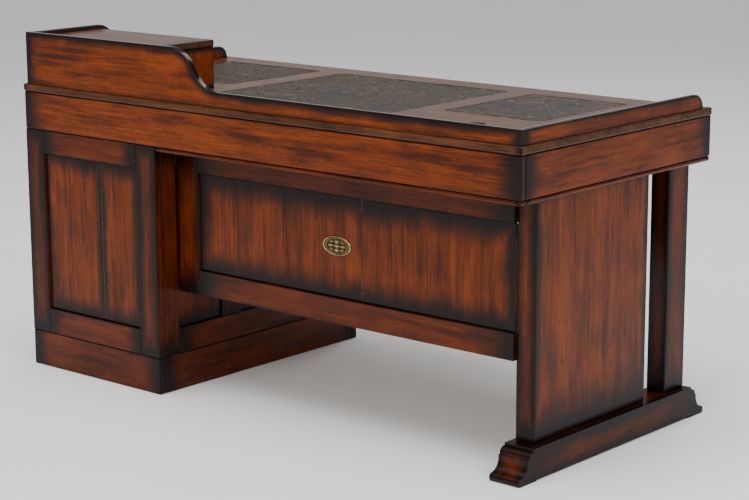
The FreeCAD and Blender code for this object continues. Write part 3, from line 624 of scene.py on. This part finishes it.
# Each node's grain axis, or None for the longest side of each board, then its burnish and its bevel.
BOARDS = {
    "organizer_top": ("x", (0.03, 0.012, 0.004), SOFT_EDGE),
    "organizer_side": ("z", (0.02, 0.03, 0.004), 0.0015),
    "organizer_floor": ("x", RAIL_BURN, 0.001),
    "organizer_dividers": ("z", RAIL_BURN, 0.001),
    "frieze_back": ("x", (0.09, 0.022, 0.004), 0.0035),
    "frieze_leg_end": ("y", FRIEZE_END_BURN, 0.0035),
    "frieze_pedestal_end": ("y", FRIEZE_END_BURN, 0.0035),
    "bead_moulding": (None, (0.03, 0.004, 0.004), 0.0055),
    "front_frame": (None, RAIL_BURN, SQUARE_EDGE),
    "pedestal_back_frame": (None, (0.07, 0.036, 0.004), 0.0022),
    "pedestal_back_panels": ("z", (0.06, 0.03, 0.002), SOFT_EDGE),
    "pedestal_inner_frame": (None, SIDE_FRAME_BURN, 0.0022),
    "pedestal_inner_panels": ("z", PANEL_BURN, SOFT_EDGE),
    "pedestal_outer_frame": (None, SIDE_FRAME_BURN, 0.0022),
    "pedestal_outer_panels": ("z", PANEL_BURN, SOFT_EDGE),
    "pedestal_deck": ("x", RAIL_BURN, SQUARE_EDGE),
    "pedestal_floor": ("x", RAIL_BURN, SQUARE_EDGE),
    "pedestal_runners": (None, RAIL_BURN, SQUARE_EDGE),
    "plinth": (None, (0.08, 0.03, 0.004), 0.0035),
    "modesty_frame": (None, (0.11, 0.016, 0.004), 0.002),
    "modesty_panels": ("z", (0.075, 0.06, 0.002), SOFT_EDGE),
    "leg_plank": ("z", (0.13, 0.035, 0.03), 0.004),
    "leg_post": ("z", (0.1, 0.03, 0.03), 0.004),
}
LEATHERS = ("leather_pedestal", "leather_center", "leather_leg")
JOINED_PANELS = ("modesty_panels",)
# Panels that get a painted shadow strip in the groove between their boards.
SEAMED_PANELS = ("modesty_panels", "pedestal_back_panels")
# Nodes that take the darker copy of the wood: painted shade on the plinth, frames, leg post, bead and the
# pedestal's inner side.
PAINTED_SHADE_NODES = ("plinth", "pedestal_back_frame", "pedestal_inner_frame", "pedestal_inner_panels",
          "pedestal_outer_frame", "modesty_frame", "leg_post", "bead_moulding")


def wood_of(node):
    """The wood that a node of BOARDS shows, with the darker, painted-shade copy for the nodes that sit in
    shade.
    """
    if node == "organizer_top":
        return TOP_WOOD
    return PAINTED_SHADE_WOOD if node in PAINTED_SHADE_NODES else WOOD


def dress():
    """Gives every CAD node its finished piece or material."""
    add_galleries()
    for node in LEATHERS:
        add_leather(node)
    add_oval_plate()
    add_copy("top_slab", TOP_WOOD, "x", TOP_BURN)
    # The sled foot also takes the darker copy of the wood: painted shade.
    add_copy("sled_foot", PAINTED_SHADE_WOOD, "y", FOOT_BURN)
    for node, (axis, burn, bevel) in BOARDS.items():
        add_boards(node, wood_of(node), axis, burn, bevel, node in JOINED_PANELS)
    for node in SEAMED_PANELS:
        add_seam_shadow(node)
    for node in frame["nodes"]:
        if "drawer" in node and node.endswith("_front"):
            add_boards(node, WOOD, "x", FRONT_BURN, SOFT_EDGE)
        elif node.endswith("_box") or node == "drawer_guides":
            add_boards(node, RAW_WOOD, None, RAIL_BURN, SQUARE_EDGE)
        elif node.startswith("pull_") or "knob" in node:
            mesh = frame["nodes"][node].data
            mesh.materials.clear()
            mesh.materials.append(BRASS)


# ---------------------------------------------------------------- studio
WHITE = (1.0, 1.0, 1.0)
WARM_WHITE = (1.0, 0.97, 0.93)
MIDDLE = (0.0, 0.0, 0.45)
FLOOR_SPAN = 40.0

# Each soft light's name, place, target, width, power and tint.
LIGHTS = (
    ("overhead", (0.2, 1.4, 5.0), (0.0, 0.7, 0.0), 4.0, 190, WHITE),
    ("key", (-1.4, 4.4, 3.2), MIDDLE, 1.8, 95, WARM_WHITE),
    ("end_fill", (-4.2, 0.6, 3.6), MIDDLE, 1.6, 75, WHITE),
    ("front_fill", (0.5, -3.4, 4.4), MIDDLE, 2.2, 85, WHITE),
)
PANEL_POWER = 1.7
PANEL_SPREAD = math.radians(75)
PANEL_TILT = (math.radians(-12), math.radians(-6), 0)

# The room's light: bright up to the first height above the horizon, and dim from the second one up.
HORIZON_BAND = (0.06, 0.3)
ROOM_STRENGTH = (0.75, 0.2)


def add_floor():
    """A wide pale floor."""
    mesh = bpy.data.meshes.new("studio_floor")
    corners = [(x * FLOOR_SPAN, y * FLOOR_SPAN, 0) for x, y in ((-1, -1), (1, -1), (1, 1), (-1, 1))]
    mesh.from_pydata(corners, [], [(0, 1, 2, 3)])
    mesh.materials.append(paper("studio_paper"))
    floor = bpy.data.objects.new("studio_floor", mesh)
    bpy.context.scene.collection.objects.link(floor)


def add_room():
    """A white room that is dimmer overhead than at the horizon and below it."""
    world = bpy.data.worlds.new("studio_world")
    world.use_nodes = True
    bpy.context.scene.world = world
    tree = world.node_tree
    where = tree.nodes.new("ShaderNodeTexCoord")
    parts = tree.nodes.new("ShaderNodeSeparateXYZ")
    tree.links.new(where.outputs["Generated"], parts.inputs[0])
    band = tree.nodes.new("ShaderNodeMapRange")
    band.interpolation_type = "SMOOTHSTEP"
    for socket, number in zip(list(band.inputs)[1:5], (*HORIZON_BAND, *ROOM_STRENGTH)):
        socket.default_value = number
    tree.links.new(parts.outputs["Z"], band.inputs["Value"])
    tree.links.new(band.outputs[0], tree.nodes["Background"].inputs["Strength"])
    tree.nodes["Background"].inputs["Color"].default_value = (*WHITE, 1)


def add_light(name, place, target, width, power, tint):
    """A square soft light aimed at a point."""
    lamp = bpy.data.lights.new(name, "AREA")
    lamp.shape = "SQUARE"
    lamp.size = width
    lamp.energy = power
    lamp.color = tint
    holder = bpy.data.objects.new(name, lamp)
    holder.location = place
    holder.rotation_euler = (Vector(target) - Vector(place)).to_track_quat("-Z", "Y").to_euler()
    holder.visible_camera = False
    bpy.context.scene.collection.objects.link(holder)


def add_high_panel():
    """A very soft light from almost straight above."""
    panel = bpy.data.lights.new("high_panel", "SUN")
    panel.energy = PANEL_POWER
    panel.angle = PANEL_SPREAD
    holder = bpy.data.objects.new("high_panel", panel)
    holder.rotation_euler = PANEL_TILT
    bpy.context.scene.collection.objects.link(holder)


def add_studio():
    """A pale floor and a bright room, with soft lights from above, behind, the leg's end and the front."""
    add_floor()
    add_room()
    for light in LIGHTS:
        add_light(*light)
    add_high_panel()


# ---------------------------------------------------------------- camera
CAMERA_PLACE = (-3.3182, 3.7699, 1.4440)
CAMERA_YAW = -0.85864
CAMERA_PITCH = 0.21406
CAMERA_ROLL = -0.00435
FOCAL_LENGTH = 98.46
SENSOR_WIDTH = 36.0


def add_camera():
    """A long lens behind the desk, off its leg end, a little above the top."""
    flat = math.cos(CAMERA_PITCH)
    ahead = Vector((math.cos(CAMERA_YAW) * flat, math.sin(CAMERA_YAW) * flat, -math.sin(CAMERA_PITCH)))
    level = ahead.cross(Vector((0, 0, 1))).normalized()
    above = level.cross(ahead)
    right = level * math.cos(CAMERA_ROLL) + above * math.sin(CAMERA_ROLL)
    up = above * math.cos(CAMERA_ROLL) - level * math.sin(CAMERA_ROLL)
    lens = bpy.data.cameras.new("camera")
    lens.sensor_width = SENSOR_WIDTH
    lens.lens = FOCAL_LENGTH
    holder = bpy.data.objects.new("camera", lens)
    turn = Matrix((right, up, -ahead)).transposed()
    holder.matrix_world = Matrix.Translation(CAMERA_PLACE) @ turn.to_4x4()
    bpy.context.scene.collection.objects.link(holder)
    bpy.context.scene.camera = holder


dress()
add_studio()
add_camera()
